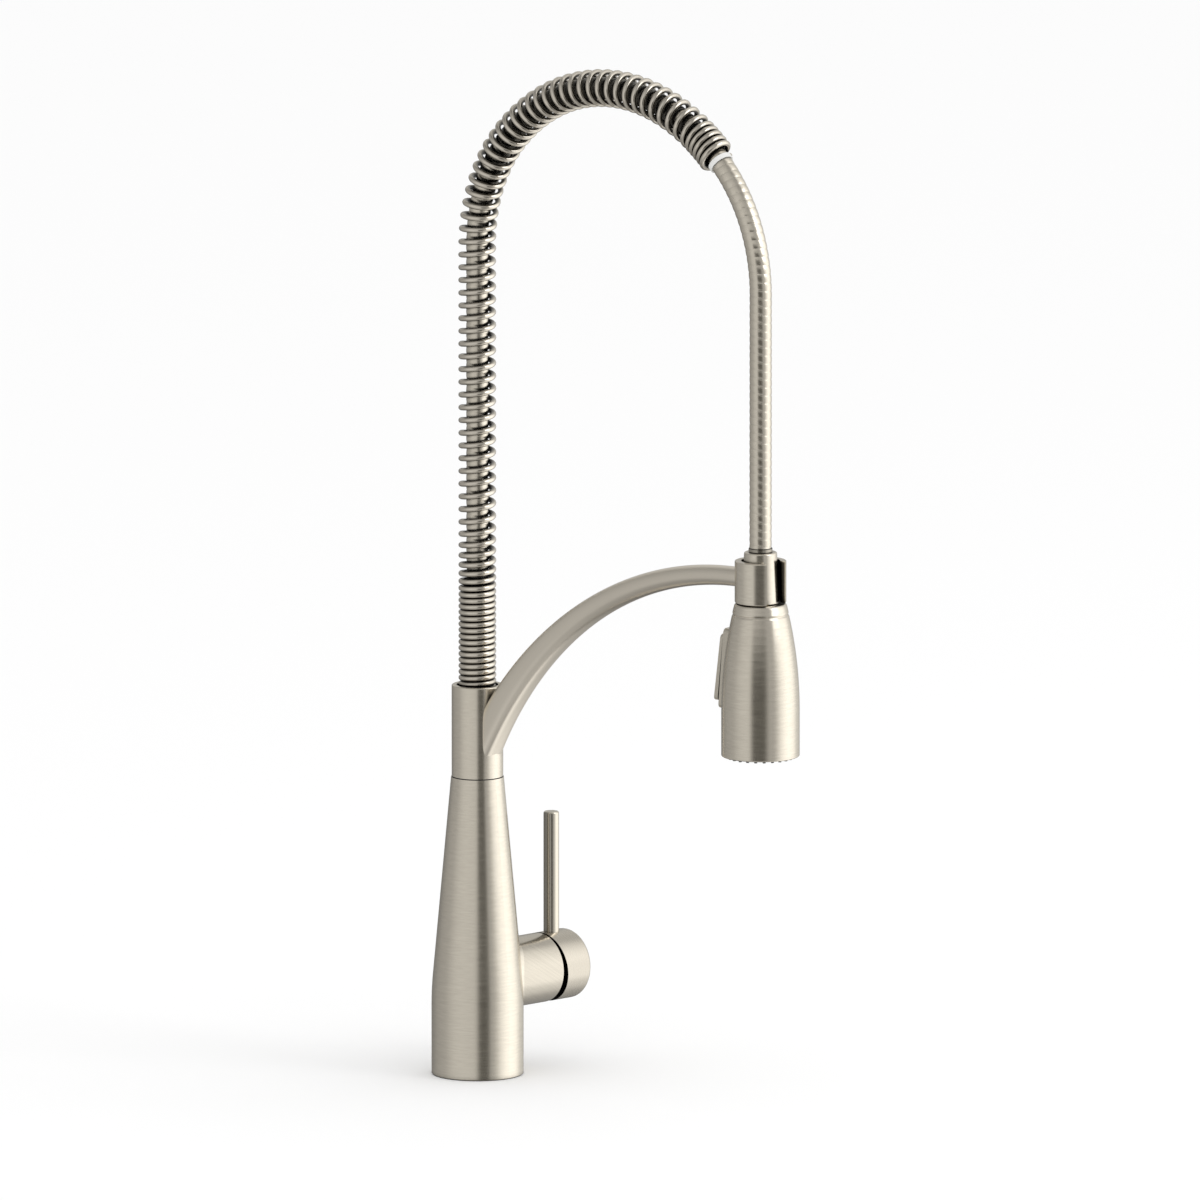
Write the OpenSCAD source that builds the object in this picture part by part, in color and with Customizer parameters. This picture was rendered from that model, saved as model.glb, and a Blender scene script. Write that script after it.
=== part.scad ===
// Spring kitchen faucet with a docking arm, a pull-down spray head and a side lever.
// Millimetres. Origin: centre of the base on the deck. +X spout, +Y handle, +Z up.

/* [Base body] */
// Diameter of the base where it stands on the deck
base_d = 57.2; // [56:0.2:62]
// Height of the straight lower part of the base
straight_h = 44; // [38:1:46]
// Height of the joint between the base and the swivelling post
joint_z = 187.4; // [185:0.2:192]
// Diameter of the base at that joint
neck_d = 32.8; // [32:0.2:36]
// Wall thickness of the hollow base
wall = 2.8; // [2.4:0.2:3.2]

/* [Deck mounting] */
// Outside diameter of the mounting shank
shank_d = 32; // [31:0.5:33]
// How far the shank reaches below the deck
shank_h = 60; // [50:1:80]

/* [Handle] */
// Height of the handle axis above the deck
hub_z = 60; // [58:0.5:62]
// Diameter of the valve hub and the handle cap
hub_d = 43.4; // [43:0.2:46]
// Distance from the column axis to the outer face of the hub
hub_end = 53.8; // [53.8:0.2:54.6]
// Distance from the column axis to the outer face of the cap
cap_end = 78; // [76:0.5:84]
// Distance from the column axis to the lever
lever_y = 63.6; // [63:0.2:66]
// Diameter of the lever rod
lever_d = 9.7; // [8:0.1:10]
// Height of the lever's tip above the deck
lever_top = 157.4; // [130:0.5:180]

/* [Post and spring] */
// Height of the top of the post
post_top = 245.4; // [243:0.2:250]
// Outside diameter of the post
post_d = 32; // [31.4:0.2:33]
// Wire diameter of the spring
wire_d = 3.5; // [3:0.1:3.6]
// Outside diameter of the spring
spring_d = 24.5; // [24:0.1:25]
// Spacing of the open coils
open_pitch = 8; // [7:0.1:9]

/* [Hose] */
// Outside diameter of the metal hose sheath
hose_d = 13.6; // [13:0.1:14]
// Height where the hose starts to bend over
bend_z = 521; // [480:1:560]
// Bend radius of both shoulders of the hose loop
shoulder_r = 104; // [100:1:110]
// Bend radius of the crown of the hose loop
crown_r = 135; // [130:1:140]

/* [Docking arm] */
// Bend radius of the arm
arm_r = 263.5; // [262:0.5:265]
// Height of the arm where it meets the clamp
arm_z = 342.4; // [341:0.2:343.5]
// Thickness of the arm at the clamp
arm_tip_d = 12; // [11:0.2:13]
// Thickness of the arm at the post
arm_root_d = 19; // [18:0.2:20]
// Width of the arm at the post
arm_root_w = 17; // [16:0.2:17.6]
// Outside diameter of the docking clamp
clamp_d = 31.9; // [31.5:0.1:33]
// Width of the clamp's slot
slot_w = 16; // [15:0.2:17]

/* [Spray head] */
// Height of the bottom rim of the spray head when docked
head_z = 232.8; // [232:0.2:233.4]
// Diameter of the spray head at its rim
head_d = 48.4; // [48:0.1:49]
// Number of nozzles in the outer ring of the spray face
outer_nozzles = 24; // [16:1:26]

/* [Motion] */
// Tilt of the lever when fully open, which the gap behind the cap leaves room for
lift_angle = 14; // [10:0.5:14]

/* [Hidden] */
$fn = 64;

// Finishes
NICKEL = [0.71, 0.67, 0.61];
SPRING_STEEL = [0.74, 0.72, 0.66];
BRASS = [0.76, 0.63, 0.36];
STEEL = [0.72, 0.73, 0.74];
CERAMIC = [0.93, 0.92, 0.88];
WHITE_PLASTIC = [0.88, 0.88, 0.86];
GREY_PLASTIC = [0.45, 0.46, 0.47];
RUBBER = [0.10, 0.10, 0.11];

eps = 0.01;
base_r = base_d / 2;
neck_r = neck_d / 2;
hub_r = hub_d / 2;
post_r = post_d / 2;
hose_r = hose_d / 2;
head_r = head_d / 2;
shank_r = shank_d / 2;

// Base: the tangent blend from the straight foot to the cone
blend_z = 64;
cone_slope = 0.0912;
function cone_r(z) = neck_r + (joint_z - z) * cone_slope;
corner_z = joint_z - (base_r - neck_r) / cone_slope;
function bezier(a, b, c, t) = (1 - t) * (1 - t) * a + 2 * t * (1 - t) * b + t * t * c;
foot_round = 0.8;

// Base: hollow, seats and bores
floor_t = 13;
socket_h = 12;
bearing_r = 11.5;
bearing_z = 147;
groove_r = [21, 25.4];
groove_h = 2.2;

// Valve: everything along the hub's axis is placed by its distance from the column axis
bore_r = 17.6;
end_wall_y = 6;
bore_floor_y = 10;
port_r = 3.2;
inlet_x = 6.3;
inlet_y = -3;
inlet_port_z = hub_z - 6;
outlet_port_z = hub_z + 10;
ports = [[-inlet_x, inlet_port_z], [inlet_x, inlet_port_z], [0, outlet_port_z]];
cartridge_r = 17.5;
base_plate_y = [10.1, 14];
disc_y = 18;
disc_gap = 0.02;
chamber_r = 15;
shoulder_y = 41;
neck_in_r = 10.5;
neck_out_r = 13.5;
neck_end_y = 49;
pivot_y = 43;
pivot_r = 1.5;
tip_y = 25;
tip_r = 3;
stem_w = 8;
stem_end_y = 73;
running = 0.07;
disc_r = 12.2;
disc_shift = (pivot_y - tip_y) * sin(lift_angle) / 2;
socket_y = 60.5;

// Waterway block behind the valve
block_x = 15;
block_y = [-12, end_wall_y];
block_z = [hub_z - 24, hub_z + 32];
screw_circle = (bore_r + hub_r) / 2;
screw_angles = [35, -35, 180];

// Inlet tubes
tube_r = 4;
tube_bore_r = 2.8;
fitting_r = 6;
fitting_z = [-12 - shank_h, 6 - shank_h];
shank_bore_r = 13.5;
inlet_thread_r = 4.5;

// Swivel and post
spigot_r = 10.4;
spigot_bottom = 141;
spigot_top = 204;
swivel_rings = [163, 171];
grub_z = 196;
grub_r = 2.5;
outlet_r = 5;
washer_t = 0.5;
post_bottom = joint_z + 0.6;
spring_bore_r = spring_d / 2 + 0.55;
seat_z = 214;
nut_r = 9.5;

// Hose and spring path, all in the plane y = 0
head_x = 2 * (shoulder_r + (crown_r - shoulder_r) * cos(45));
crown_c = [head_x / 2, bend_z - (crown_r - shoulder_r) * sin(45)];
hose_low = 213;
collar_top = 360.4;
shoulder_l = shoulder_r * PI / 4;
crown_l = crown_r * PI / 2;
deg = 180 / PI;
sheath_in_r = 5.4;
liner_r = [5.2, 3.6];
// Straight and bent stretches of hose stop this short of each other, and a slightly bigger band joins them
meet_gap = 0.2;
meet_turn = 0.2;
band_over = 0.06;
band_h = 1;
// A point of the path and its heading, from the length run since the spring's lower end
spring_z0 = 221;
riser_l = bend_z - spring_z0;
function on_path(s) =
    s < riser_l ? [0, spring_z0 + s, 0]
    : s < riser_l + shoulder_l
    ? let (a = (s - riser_l) / shoulder_r * deg)
      [shoulder_r * (1 - cos(a)), bend_z + shoulder_r * sin(a), a]
    : let (a = (s - riser_l - shoulder_l) / crown_r * deg + 45)
      [crown_c[0] - crown_r * cos(a), crown_c[1] + crown_r * sin(a), a];

// Spring: close coils, a ramp to the open pitch, open coils, a short ramp and close end coils
spring_sweep = 85.5;
spring_l = riser_l + shoulder_l + crown_r * spring_sweep / deg;
close_pitch = 3.75;
end_pitch = 4.1;
close_n = 22;
ramp_n = 8;
end_ramp_n = 1.5;
end_n = 4.5;
open_n = (spring_l - close_pitch * close_n - (close_pitch + open_pitch) / 2 * ramp_n
          - (open_pitch + end_pitch) / 2 * end_ramp_n - end_pitch * end_n) / open_pitch;
n_1 = close_n;
n_2 = n_1 + ramp_n;
n_3 = n_2 + open_n;
n_4 = n_3 + end_ramp_n;
coils = n_4 + end_n;
// Length run after n coils when the pitch goes from p to q over a ramp of w coils
function ramp(n, p, q, w) = p * n + (q - p) * n * n / (2 * w);
s_1 = close_pitch * close_n;
s_2 = s_1 + ramp(ramp_n, close_pitch, open_pitch, ramp_n);
s_3 = s_2 + open_pitch * open_n;
s_4 = s_3 + ramp(end_ramp_n, open_pitch, end_pitch, end_ramp_n);
function coil_length(n) =
    n < n_1 ? close_pitch * n
    : n < n_2 ? s_1 + ramp(n - n_1, close_pitch, open_pitch, ramp_n)
    : n < n_3 ? s_2 + open_pitch * (n - n_2)
    : n < n_4 ? s_3 + ramp(n - n_3, open_pitch, end_pitch, end_ramp_n)
    : s_4 + end_pitch * (n - n_4);

// Arm
arm_c = [240, arm_z - arm_r];
arm_x0 = 14.6;
arm_lift = 2.2;
arm_square = 4;
arm_x1 = head_x - 14.4;

// Clamp, collar and hose end
clamp_in_r = 12;
clamp_z = [329, 355];
collar_r = [11.5, 10.2];
ferrule_r = 7.4;
ferrule_h = 2.6;
nipple_r = 6;
flange_r = 8.5;
nipple_z = [313, 338];
oring_z = 323;

// Spray head: heights are given with the head docked
shoulder_z = 328.4;
core_r = 17;
core_neck_r = 13.2;
core_step = 292;
core_z = [head_z + 6.2, 320];
face_z = [head_z + 0.6, head_z + 4];
seat_top = 308;
check_r = 6.5;
check_floor = 296;
frame_w = 24;
frame_z = [260.8, 311.3];
pad_z = [265.3, 307.3];
pad_gap = 1.5;
frame_corner = 3;
pad_corner = 2.5;
bezel_front = 26.4;
bezel_tilt = 5.2;
pad_gap_tilt = 1.3;
pad_front = 31.4;
pad_tilt = 8.2;
pin_z = 288;
pin_out = 19.2;
spool_out = 7.9;
spool_r = 2.5;
spool_rings = [270, 278];

// ---------------------------------------------------------------- helpers

// A shape drawn along +Z, turned to run along +Y at the height of the handle axis
module along_hub(y = 0) {
    translate([0, y, hub_z]) rotate([-90, 0, 0]) children();
}

// A cylinder along the hub's axis, from y0 to y1, offset by x and z from that axis
module hub_rod(r, y0, y1, x = 0, z = hub_z) {
    translate([x, y0, z]) rotate([-90, 0, 0]) cylinder(r = r, h = y1 - y0);
}

module rod(r, z0, z1) {
    translate([0, 0, z0]) cylinder(r = r, h = z1 - z0);
}

module ring(r_out, r_in, z0, z1) {
    difference() {
        rod(r_out, z0, z1);
        rod(r_in, z0 - 1, z1 + 1);
    }
}

module hub_ring(r_out, r_in, y0, y1) {
    difference() {
        hub_rod(r_out, y0, y1);
        hub_rod(r_in, y0 - 1, y1 + 1);
    }
}

// An O-ring lying flat at height z, between two radii
module oring(r_in, r_out, z) {
    translate([0, 0, z]) rotate_extrude() translate([(r_in + r_out) / 2, 0])
        circle(r = (r_out - r_in) / 2, $fn = 24);
}

module at_head() {
    translate([head_x, 0, 0]) children();
}

// Points of a circular arc in 2D
function arc(c, r, a0, a1, n = 6) =
    [for (i = [0:n]) c + r * [cos(a0 + (a1 - a0) * i / n), sin(a0 + (a1 - a0) * i / n)]];

// Joins rings of points, each with the same count, into one closed skin
module skin(rings) {
    n = len(rings[0]);
    m = len(rings);
    points = [for (r = rings) each r];
    sides = [for (i = [0:m - 2]) for (j = [0:n - 1]) let (k = (j + 1) % n) each [
        [i * n + j, (i + 1) * n + k, i * n + k],
        [i * n + j, (i + 1) * n + j, (i + 1) * n + k]
    ]];
    lid_low = [for (j = [1:n - 2]) [0, j, j + 1]];
    lid_high = [for (j = [1:n - 2]) [0, j + 1, j] + (m - 1) * n * [1, 1, 1]];
    polyhedron(points = points, faces = concat(sides, lid_low, lid_high));
}

// ---------------------------------------------------------------- base

base_outline = concat(
    [[0, 0]],
    arc([base_r - foot_round, foot_round], foot_round, -90, 0, 4),
    [for (i = [0:8]) bezier([base_r, straight_h], [base_r, corner_z],
                            [cone_r(blend_z), blend_z], i / 8)],
    [[neck_r, joint_z], [0, joint_z]]
);

module base_hollow() {
    rotate_extrude() polygon([
        [0, floor_t],
        [base_r - wall, floor_t],
        [base_r - wall, straight_h],
        [cone_r(blend_z) - wall, blend_z],
        [cone_r(bearing_z) - wall, bearing_z],
        [0, bearing_z]
    ]);
}

module screw_spots() {
    for (a = screw_angles)
        translate([screw_circle * sin(a), 0, hub_z + screw_circle * cos(a)])
            rotate([-90, 0, 0]) children();
}

module base_body() {
    color(NICKEL) difference() {
        union() {
            difference() {
                rotate_extrude($fn = 96) polygon(base_outline);
                base_hollow();
            }
            hub_rod(hub_r, end_wall_y, hub_end - 0.3);
            along_hub(hub_end - 0.3) cylinder(r1 = hub_r, r2 = hub_r - 0.3, h = 0.3);
        }
        rod(shank_r - 0.5, -1, socket_h);
        rod(shank_r + 0.5, -1, 0.6);
        rod(shank_bore_r, 0, floor_t + 1);
        ring(groove_r[1], groove_r[0], -1, groove_h);
        rod(bearing_r, bearing_z - 1, joint_z + 1);
        hub_rod(bore_r, bore_floor_y, hub_end + 1);
        for (p = ports)
            hub_rod(port_r, end_wall_y - 1, bore_floor_y + 1, p[0], p[1]);
        screw_spots() rod(1.5, end_wall_y - 1, 18);
    }
}

module base_gasket() {
    color(RUBBER) ring(groove_r[1] - 0.1, groove_r[0] + 0.1, 0, groove_h);
}

// The shank's thread is drawn as parallel ridges
module mounting_shank() {
    thread_top = -20;
    pitch = 1.5;
    ridges = floor((shank_h + thread_top) / pitch);
    color(BRASS) rotate_extrude() polygon(concat(
            [[shank_bore_r, socket_h], [shank_r - 0.5, socket_h], [shank_r - 0.5, 0]],
            [[shank_r, 0], [shank_r, thread_top]],
            [for (i = [0:ridges - 1]) each [
                [shank_r - 0.9, thread_top - pitch * (i + 0.5)],
                [shank_r, thread_top - pitch * (i + 1)]
            ]],
            [[shank_r - 0.9, -shank_h], [shank_bore_r, -shank_h]]
    ));
}

// A water inlet: a socket with an internal thread, and a tube up into the waterway block
module inlet(x) {
    translate([x, inlet_y, 0]) difference() {
        union() {
            rod(fitting_r, fitting_z[0], fitting_z[1]);
            rod(tube_r, fitting_z[1], block_z[0] + 4);
        }
        rod(inlet_thread_r, fitting_z[0] - 1, fitting_z[0] + 10);
        rod(tube_bore_r, fitting_z[0], block_z[0] + 5);
    }
}

module hot_inlet() {
    color(BRASS) inlet(-inlet_x);
}

module cold_inlet() {
    color(BRASS) inlet(inlet_x);
}

module inlet_holder() {
    color(GREY_PLASTIC) difference() {
        rod(shank_bore_r - 0.05, 1 - shank_h, 5 - shank_h);
        for (x = [-inlet_x, inlet_x])
            translate([x, inlet_y, 0]) rod(fitting_r, fitting_z[0], fitting_z[1]);
    }
}

module waterway_block() {
    turn_y = inlet_y;
    color(BRASS) difference() {
        translate([-block_x, block_y[0], block_z[0]])
            cube([2 * block_x, block_y[1] - block_y[0], block_z[1] - block_z[0]]);
        for (x = [-inlet_x, inlet_x]) translate([x, turn_y, 0]) {
            rod(tube_r, block_z[0] - 1, block_z[0] + 4);
            rod(tube_bore_r, block_z[0], inlet_port_z + 2);
        }
        for (x = [-inlet_x, inlet_x])
            hub_rod(2.6, turn_y, block_y[1] + 1, x, inlet_port_z);
        hub_rod(2.6, 0, block_y[1] + 1, 0, outlet_port_z);
        rod(4, outlet_port_z - 3, block_z[1] + 1);
        rod(outlet_r, block_z[1] - 6, block_z[1] + 1);
        for (p = ports)
            translate([p[0], 0, p[1] - hub_z]) hub_ring(5.2, 3.6, block_y[1] - 1.3, block_y[1] + 1);
        screw_spots() rod(1.65, block_y[0] - 1, block_y[1] + 1);
    }
}

module port_orings() {
    color(RUBBER) for (p = ports)
        translate([p[0], block_y[1] - 0.65, p[1]]) rotate([-90, 0, 0]) oring(3.75, 5.05, 0);
}

module block_screws() {
    color(STEEL) screw_spots() difference() {
        union() {
            rod(1.45, block_y[0] - eps, 16);
            rod(2.75, block_y[0] - 3, block_y[0]);
        }
        translate([0, 0, block_y[0] - 3.5]) cylinder(r = 1.25, h = 2, $fn = 6);
    }
}

module outlet_tube() {
    color(BRASS) ring(outlet_r, 4, block_z[1] - 6, 166);
}

module lower_bush() {
    color(WHITE_PLASTIC) ring(bearing_r, spigot_r + 0.05, bearing_z + 1, bearing_z + 11);
}

module upper_bush() {
    color(WHITE_PLASTIC) ring(bearing_r, spigot_r + 0.05, joint_z - 10, joint_z);
}

module thrust_washer() {
    color(RUBBER) ring(neck_r - 0.7, spigot_r + 0.1, joint_z, joint_z + washer_t);
}

// ---------------------------------------------------------------- cartridge, fixed pieces

module cartridge_base() {
    color(WHITE_PLASTIC) difference() {
        hub_rod(cartridge_r, base_plate_y[0], base_plate_y[1]);
        for (p = ports) {
            hub_rod(2.8, base_plate_y[0] - 1, base_plate_y[1] + 1, p[0], p[1]);
            translate([p[0], 0, p[1] - hub_z])
                hub_ring(5, 3.4, base_plate_y[0] - 1, base_plate_y[0] + 1.2);
        }
    }
}

module cartridge_seals() {
    color(RUBBER) for (p = ports)
        translate([p[0], 0, p[1] - hub_z]) hub_ring(4.9, 3.5, bore_floor_y, bore_floor_y + 1.2);
}

module fixed_disc() {
    color(CERAMIC) difference() {
        hub_rod(chamber_r - 0.1, base_plate_y[1], disc_y);
        for (p = ports) hub_rod(2.6, base_plate_y[1] - 1, disc_y + 1, p[0], p[1]);
    }
}

module cartridge_housing() {
    color(WHITE_PLASTIC) difference() {
        union() {
            hub_rod(cartridge_r, base_plate_y[1], shoulder_y);
            hub_rod(neck_out_r, shoulder_y - eps, neck_end_y);
        }
        hub_rod(chamber_r, base_plate_y[1] - 1, shoulder_y - 1);
        hub_rod(neck_in_r, shoulder_y - 2, neck_end_y + 1);
    }
}

// Clamps the cartridge down by its shoulder; four notches take a spanner
module cartridge_nut() {
    color(BRASS) difference() {
        hub_ring(bore_r - 0.05, neck_out_r + 0.1, shoulder_y, neck_end_y + 1);
        for (a = [0:90:270]) along_hub(neck_end_y - 1.5) rotate(a)
            translate([neck_out_r - 1, -1.5, 0]) cube([6, 3, 4]);
    }
}

// ---------------------------------------------------------------- cartridge, moving pieces

module rotor() {
    ring_y = shoulder_y - 8;
    color(GREY_PLASTIC) difference() {
        union() {
            hub_rod(chamber_r - running, 27, shoulder_y - 1.1);
            hub_rod(neck_in_r - running, shoulder_y - 1.2, neck_end_y + 0.5);
        }
        along_hub(26) translate([-stem_w / 2 - 0.1, -8.6, 0]) cube([stem_w + 0.2, 17.2, 11.5]);
        along_hub(37) translate([-stem_w / 2 - 0.1, -6.2, 0]) cube([stem_w + 0.2, 12.4, 15]);
        hub_ring(chamber_r + 1, 13.3, ring_y - 0.9, ring_y + 0.9);
        translate([-neck_in_r, pivot_y, hub_z]) rotate([0, 90, 0]) cylinder(r = pivot_r, h = 21);
    }
}

module rotor_oring() {
    color(RUBBER) along_hub(shoulder_y - 8) oring(13.32, chamber_r - 0.04, 0);
}

module pivot_pin() {
    half = 9.7;
    color(STEEL) translate([-half, pivot_y, hub_z]) rotate([0, 90, 0])
        cylinder(r = pivot_r, h = 2 * half);
}

module moving_disc() {
    color(CERAMIC) translate([0, 0, -disc_shift]) difference() {
        hub_rod(disc_r, disc_y + disc_gap, disc_y + 3);
        hub_rod(6, disc_y - 1, disc_y + 1.5, 0, hub_z + 2);
    }
}

module disc_carrier() {
    color(GREY_PLASTIC) difference() {
        translate([0, 0, -disc_shift]) hub_rod(disc_r, disc_y + 3, tip_y + 1.9);
        along_hub(disc_y + 3.5) translate([-stem_w / 2 - 0.2, -tip_r - 0.1, 0])
            cube([stem_w + 0.4, 2 * tip_r + 0.2, 10]);
    }
}

module valve_stem() {
    color(BRASS) difference() {
        union() {
            translate([-stem_w / 2, pivot_y - 6, hub_z - stem_w / 2])
                cube([stem_w, stem_end_y - pivot_y + 6, stem_w]);
            translate([-stem_w / 2, tip_y, hub_z - 2])
                cube([stem_w, pivot_y - tip_y, 4]);
            translate([-stem_w / 2, tip_y, hub_z]) rotate([0, 90, 0])
                cylinder(r = tip_r, h = stem_w);
        }
        translate([-stem_w, pivot_y, hub_z]) rotate([0, 90, 0])
            cylinder(r = pivot_r + 0.05, h = 2 * stem_w);
    }
}

// ---------------------------------------------------------------- handle

// The cap's back is cut at a slant, so that the gap behind it is wider at the bottom
gap_top = 1.35;
gap_bottom = 5.7;
gap_slant = atan((gap_bottom - gap_top) / hub_d);

module handle_cap() {
    edge = 2.6;
    color(NICKEL) difference() {
        along_hub(0) rotate_extrude($fn = 96) polygon(concat(
            [[0, hub_end], [hub_r, hub_end]],
            arc([hub_r - edge, cap_end - edge], edge, 0, 90, 8),
            [[0, cap_end]]
        ));
        translate([0, hub_end + (gap_top + gap_bottom) / 2, hub_z]) rotate([gap_slant, 0, 0])
            translate([-50, -50, -50]) cube([100, 50, 100]);
        hub_rod(18.2, hub_end - 1, socket_y);
        translate([-stem_w / 2, socket_y - 1, hub_z - stem_w / 2])
            cube([stem_w, stem_end_y - socket_y + 1, stem_w]);
        translate([0, lever_y, hub_z]) rod(lever_d / 2, 6, hub_r + 1);
        translate([0, lever_y, hub_z]) rod(2.1, -hub_r - 1, 0);
        translate([0, lever_y, hub_z]) rod(3, -hub_r - 1, -hub_r + 4);
    }
}

module lever_rod() {
    edge = 1.2;
    color(NICKEL) translate([0, lever_y, 0]) rotate_extrude($fn = 48) polygon(concat(
        [[0, hub_z + 6], [lever_d / 2, hub_z + 6]],
        arc([lever_d / 2 - edge, lever_top - edge], edge, 0, 90, 5),
        [[0, lever_top]]
    ));
}

module handle_grub_screw() {
    color(STEEL) translate([0, lever_y, hub_z]) difference() {
        rod(2.05, -stem_w / 2 - 9, -stem_w / 2);
        translate([0, 0, -stem_w / 2 - 9.5]) cylinder(r = 1.1, h = 3, $fn = 6);
    }
}

module handle_plug() {
    color(GREY_PLASTIC) translate([0, lever_y, hub_z]) rod(2.95, -hub_r + 0.9, -hub_r + 4);
}

// ---------------------------------------------------------------- swivelling spout

module spout_spigot() {
    color(BRASS) difference() {
        union() {
            rod(spigot_r, spigot_bottom, spigot_top);
            rod(6.5, spigot_top - eps, hose_low - 1);
        }
        rod(outlet_r + 0.05, spigot_bottom - 1, 168);
        rod(4, spigot_bottom, hose_low);
        ring(spigot_r + 1, 9.3, bearing_z - 1.3, bearing_z - 0.1);
        for (z = swivel_rings) ring(spigot_r + 1, 8.8, z - 1.4, z + 1.4);
        translate([-post_r, 0, grub_z]) rotate([0, 90, 0]) rod(grub_r, 0, post_r - 9.4);
    }
}

module swivel_orings() {
    color(RUBBER) for (z = swivel_rings) oring(8.82, bearing_r - 0.04, z);
}

module retaining_clip() {
    clip_z = [bearing_z - 1.25, bearing_z - 0.15];
    color(STEEL) difference() {
        ring(13.4, 9.35, clip_z[0], clip_z[1]);
        translate([-20, -4, clip_z[0] - 1]) cube([20, 8, 4]);
    }
}

module post_sleeve() {
    rim = 1;
    color(NICKEL) difference() {
        rotate_extrude($fn = 96) polygon(concat(
            [[spigot_r, post_bottom], [post_r, post_bottom]],
            arc([post_r - rim, post_top - rim], rim, 0, 90, 5),
            arc([spring_bore_r + 0.5, post_top - 0.5], 0.5, 90, 180, 3),
            [[spring_bore_r, seat_z], [11, seat_z], [11, spigot_top], [spigot_r, spigot_top]]
        ));
        translate([-post_r - 1, 0, grub_z]) rotate([0, 90, 0]) rod(grub_r, 0, post_r);
    }
}

module post_grub_screw() {
    color(STEEL) translate([-post_r, 0, grub_z]) rotate([0, 90, 0]) difference() {
        rod(grub_r - 0.05, 0.6, post_r - 9.5);
        cylinder(r = 1.25, h = 3, $fn = 6);
    }
}

module hose_nut() {
    color(BRASS) difference() {
        intersection() {
            rod(nut_r, spigot_top + 0.2, hose_low - 0.2);
            translate([0, 0, spigot_top]) cylinder(r = nut_r * 1.08, h = 10, $fn = 6);
        }
        rod(6.55, spigot_top - 1, hose_low + 1);
    }
}

module spring_seat() {
    color(GREY_PLASTIC) difference() {
        rod(spring_bore_r - 0.1, seat_z, spring_z0 - wire_d / 2 - 0.1);
        rod(8.2, seat_z - 1, spring_z0);
    }
}

// The coil follows the path: each ring of points is a section through the wire
module spring() {
    steps = 11;
    sides = 5;
    coil_r = (spring_d - wire_d) / 2;
    total = round(coils * steps);
    rings = [for (i = [0:total]) let (
        n = i / steps,
        p = on_path(coil_length(n)),
        a = 360 * n,
        up = [sin(p[2]), 0, cos(p[2])],
        out = cos(a) * [cos(p[2]), 0, -sin(p[2])] + sin(a) * [0, 1, 0],
        c = [p[0], 0, p[1]] + coil_r * out
    ) [for (j = [0:sides - 1]) let (b = -360 * j / sides)
        c + wire_d / 2 * (cos(b) * out + sin(b) * up)]];
    color(SPRING_STEEL) skin(rings);
}

// Turns its children to stand on the hose path, s along it from the spring's lower end
module on_hose(s) {
    p = on_path(s);
    translate([p[0], 0, p[1]]) rotate([0, p[2], 0]) children();
}

module spring_end_ring() {
    color(WHITE_PLASTIC) on_hose(spring_l + wire_d / 2 + 0.6) ring(7.9, 6.95, 0, 3);
}

// The arm: a bent, tapering bar, a rounded rectangle at the post and round at the clamp.
// Each line along it starts on a cylinder inside the post's wall.
function mix(a, b, t) = a + (b - a) * t;
function rounded(c, square) = sign(c) * pow(abs(c), 2 / square);

module support_arm() {
    stations = 32;
    around = 36;
    a_end = acos((arm_c[0] - arm_x1) / arm_r);
    rings = [for (i = [0:stations]) let (
        t = i / stations,
        high = mix(arm_tip_d, arm_root_d, pow(1 - t, 1.3)) / 2,
        wide = mix(arm_tip_d, arm_root_w, pow(1 - t, 0.65)) / 2,
        square = mix(2, arm_square, pow(1 - t, 2.4)),
        middle = arm_r + arm_lift * pow(1 - t, 1.6)
    ) [for (j = [0:around - 1]) let (
        b = -360 * (j + 0.5) / around,
        x0 = sqrt(pow(arm_x0, 2) - pow(arm_root_w / 2 * rounded(sin(b), arm_square), 2)),
        r0 = arm_r + arm_lift + arm_root_d / 2 * rounded(cos(b), arm_square),
        a_start = acos((arm_c[0] - x0) / r0),
        a = mix(a_start, a_end, t),
        r = middle + high * rounded(cos(b), square)
    ) [arm_c[0] - r * cos(a), wide * rounded(sin(b), square), arm_c[1] + r * sin(a)]]];
    color(NICKEL) skin(rings);
}

module docking_clamp() {
    edge = 0.6;
    color(NICKEL) at_head() difference() {
        rotate_extrude($fn = 96) polygon(concat(
            arc([clamp_d / 2 - edge, clamp_z[0] + edge], edge, -90, 0, 3),
            arc([clamp_d / 2 - edge, clamp_z[1] - edge], edge, 0, 90, 3),
            [[clamp_in_r, clamp_z[1]], [clamp_in_r, clamp_z[0]]]
        ));
        translate([0, -slot_w / 2, clamp_z[0] - 1]) cube([30, slot_w, 40]);
    }
}

// ---------------------------------------------------------------- hose

// A band around the place where two stretches of tube meet, s along the hose path
module hose_band(s, r_out, r_in) {
    on_hose(s - band_h / 2) ring(r_out + band_over, r_in - band_over, 0, band_h);
}

// The hose from its lower end up over the crown, as far as sweep round it
module hose_rise(r_out, r_in, sweep) {
    ring(r_out, r_in, hose_low, bend_z - meet_gap);
    hose_band(riser_l, r_out, r_in);
    hose_bend([shoulder_r, bend_z], shoulder_r, 135 + meet_turn, 45 - meet_turn, r_out, r_in);
    hose_band(riser_l + shoulder_l, r_out, r_in);
    hose_bend(crown_c, crown_r, 135 - sweep, sweep, r_out, r_in);
}

// The hose from the end of the crown down into the collar
module hose_fall(r_out, r_in, z_end) {
    hose_band(riser_l + shoulder_l + crown_l, r_out, r_in);
    hose_bend([head_x - shoulder_r, bend_z], shoulder_r, 0, 45 - meet_turn, r_out, r_in);
    at_head() {
        ring(r_out + band_over, r_in - band_over, bend_z - band_h / 2, bend_z + band_h / 2);
        ring(r_out, r_in, z_end, bend_z - meet_gap);
    }
}

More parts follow.
